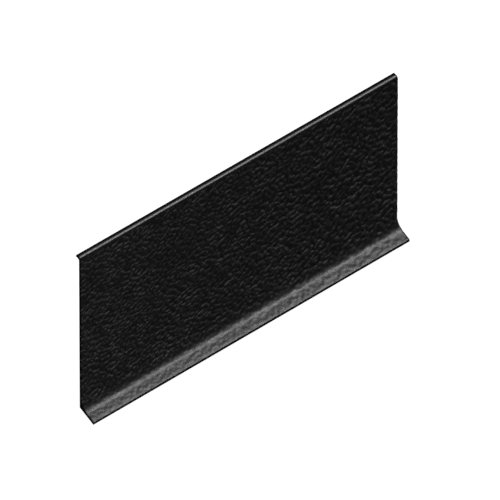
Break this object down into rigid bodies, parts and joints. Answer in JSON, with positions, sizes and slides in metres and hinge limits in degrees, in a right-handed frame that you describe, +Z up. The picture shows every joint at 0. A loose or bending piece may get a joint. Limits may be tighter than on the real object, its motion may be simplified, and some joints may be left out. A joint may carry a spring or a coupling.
{
  "type": "kick plate",
  "caption": "Black grained kick plate with a flared toe and a returned top lip, with foam mounting tapes and release liners on its back.",
  "frame": {"origin": "middle of the length and of the depth, level with the bottom of the toe", "axes": "+X along the plate, -Y out of the show face that is kicked, +Y into the door or wall behind it, +Z up"},
  "size_m": [0.35, 0.019, 0.1524],
  "materials": {
    "plate": "satin",
    "foam": "matte",
    "liner": "satin"
  },
  "bodies": {
    "root": {"kick_plate": "plate", "upper_foam_tape": "foam", "middle_foam_tape": "foam", "lower_foam_tape": "foam", "upper_release_liner": "liner", "middle_release_liner": "liner", "lower_release_liner": "liner"}
  },
  "joints": []
}
